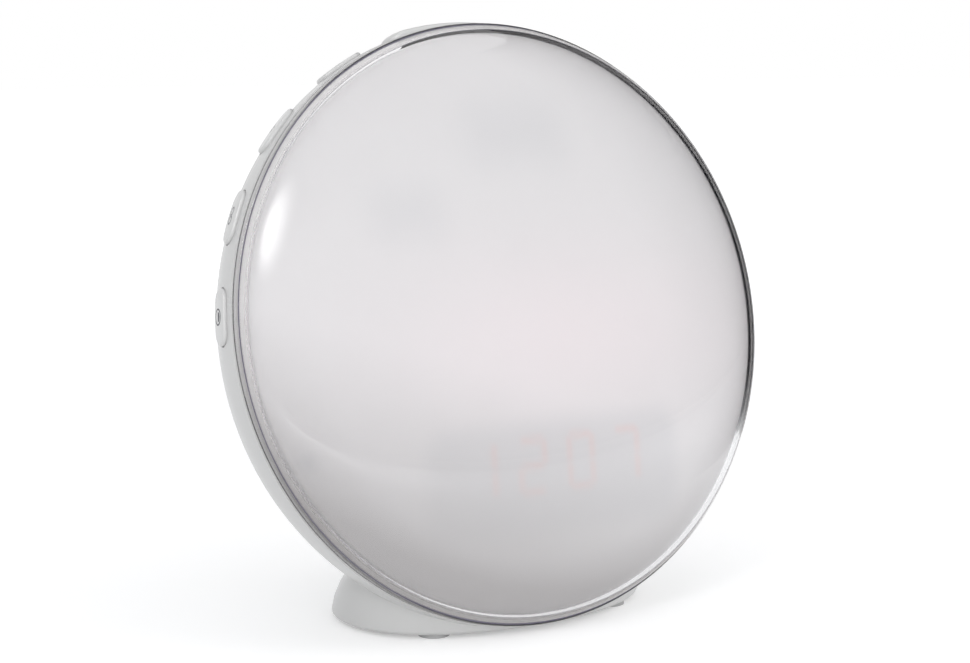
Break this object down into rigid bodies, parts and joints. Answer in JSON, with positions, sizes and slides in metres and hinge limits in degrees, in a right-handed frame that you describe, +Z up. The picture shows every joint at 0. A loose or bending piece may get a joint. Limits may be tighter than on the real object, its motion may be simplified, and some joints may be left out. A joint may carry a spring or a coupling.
{
  "type": "sunrise alarm clock",
  "caption": "Round sunrise alarm clock with a clear domed front over a milky light diffuser, side buttons, a snooze bar and a moulded foot.",
  "frame": {"origin": "on the table, below the middle of the clock's bounding box, between the rubber feet", "axes": "+Z up, the lit face looks towards -Y and leans back, +X to the right of someone who faces it"},
  "size_m": [0.1746, 0.0807, 0.1704],
  "materials": {
    "clear_cover": "clear, polished",
    "milky_diffuser": "milky, satin",
    "grey_baffle": "matte",
    "display_black": "gloss",
    "lit_digits": "lit red",
    "tinned_pins": "tinned",
    "white_tray": "white, reflective",
    "white_board": "white solder mask",
    "led_phosphor": "matte",
    "led_package": "matte",
    "green_board": "green solder mask",
    "chip_black": "matte",
    "can_aluminium": "satin",
    "screw_steel": "zinc plated",
    "white_housing": "smooth gloss",
    "white_base": "satin",
    "grey_rubber": "matte",
    "white_button": "smooth gloss",
    "switch_black": "matte",
    "speaker_steel": "dull grey",
    "ferrite": "dull",
    "cone_paper": "pressed paper",
    "copper_coil": "enamelled",
    "soft_rubber": "matte",
    "foam": "foam",
    "socket_black": "gloss",
    "nickel_pin": "nickel plated",
    "cell_steel": "brushed",
    "contact_brass": "plated"
  },
  "bodies": {
    "head": {"front_cover": "clear_cover", "diffuser": "milky_diffuser", "display_baffle": "grey_baffle", "display_module": "display_black", "display_digits": "lit_digits", "display_pins": "tinned_pins", "reflector_tray": "white_tray", "led_board": "white_board", "white_leds": "led_phosphor", "colour_leds": "led_package", "main_board_panel": "green_board", "board_chips": "chip_black", "board_capacitors": "can_aluminium", "board_screws": "screw_steel", "rear_housing": "white_housing", "base_plate": "white_base", "rubber_feet": "grey_rubber", "base_screws": "screw_steel", "housing_screws": "screw_steel", "left_button_board": "green_board", "right_button_board": "green_board", "snooze_board": "green_board", "button_board_screws": "screw_steel", "left_switches": "switch_black", "right_switches": "switch_black", "snooze_switches": "switch_black", "speaker_frame": "speaker_steel", "speaker_magnet": "ferrite", "speaker_surround": "soft_rubber", "speaker_gasket": "foam", "speaker_screws": "screw_steel", "dc_jack": "socket_black", "dc_jack_pin": "nickel_pin", "coin_cell": "cell_steel", "battery_contacts": "contact_brass"},
    "left_button_1": {"left_button_1": "white_button", "left_plunger_1": "switch_black"},
    "left_button_2": {"left_button_2": "white_button", "left_plunger_2": "switch_black"},
    "left_button_3": {"left_button_3": "white_button", "left_plunger_3": "switch_black"},
    "left_button_4": {"left_button_4": "white_button", "left_plunger_4": "switch_black"},
    "right_button_1": {"right_button_1": "white_button", "right_plunger_1": "switch_black"},
    "right_button_2": {"right_button_2": "white_button", "right_plunger_2": "switch_black"},
    "right_button_3": {"right_button_3": "white_button", "right_plunger_3": "switch_black"},
    "right_button_4": {"right_button_4": "white_button", "right_plunger_4": "switch_black"},
    "snooze": {"snooze_bar": "white_button", "snooze_plungers": "switch_black"},
    "door": {"battery_door": "white_housing", "door_screw": "screw_steel"},
    "cone": {"speaker_cone": "cone_paper", "voice_coil": "copper_coil"}
  },
  "joints": [
    {"name": "left_button_1_press", "type": "slide", "parent": "head", "child": "left_button_1", "axis": [0.9954, -0.0211, -0.0935], "range_m": [0, 0.0005], "stiffness_N_per_m": 500, "springref_m": -0.0005},
    {"name": "left_button_2_press", "type": "slide", "parent": "head", "child": "left_button_2", "axis": [0.9143, -0.0891, -0.3952], "range_m": [0, 0.0005], "stiffness_N_per_m": 500, "springref_m": -0.0005},
    {"name": "left_button_3_press", "type": "slide", "parent": "head", "child": "left_button_3", "axis": [0.7396, -0.148, -0.6565], "range_m": [0, 0.0005], "stiffness_N_per_m": 500, "springref_m": -0.0005},
    {"name": "left_button_4_press", "type": "slide", "parent": "head", "child": "left_button_4", "axis": [0.4894, -0.1917, -0.8507], "range_m": [0, 0.0005], "stiffness_N_per_m": 500, "springref_m": -0.0005},
    {"name": "right_button_1_press", "type": "slide", "parent": "head", "child": "right_button_1", "axis": [-0.9954, -0.0211, -0.0935], "range_m": [0, 0.0005], "stiffness_N_per_m": 500, "springref_m": -0.0005},
    {"name": "right_button_2_press", "type": "slide", "parent": "head", "child": "right_button_2", "axis": [-0.9143, -0.0891, -0.3952], "range_m": [0, 0.0005], "stiffness_N_per_m": 500, "springref_m": -0.0005},
    {"name": "right_button_3_press", "type": "slide", "parent": "head", "child": "right_button_3", "axis": [-0.7396, -0.148, -0.6565], "range_m": [0, 0.0005], "stiffness_N_per_m": 500, "springref_m": -0.0005},
    {"name": "right_button_4_press", "type": "slide", "parent": "head", "child": "right_button_4", "axis": [-0.4894, -0.1917, -0.8507], "range_m": [0, 0.0005], "stiffness_N_per_m": 500, "springref_m": -0.0005},
    {"name": "snooze_press", "type": "slide", "parent": "head", "child": "snooze", "axis": [0, -0.2198, -0.9755], "range_m": [0, 0.0008], "stiffness_N_per_m": 500, "springref_m": -0.0008},
    {"name": "battery_door_hinge", "type": "hinge", "parent": "head", "child": "door", "pos_m": [0, 0.02093, 0.03689], "axis": [-1, 0, 0], "range_deg": [0, 90]},
    {"name": "speaker_cone_travel", "type": "slide", "parent": "head", "child": "cone", "axis": [0, 0.9755, -0.2198], "range_m": [-0.0005, 0.0005], "stiffness_N_per_m": 500}
  ]
}
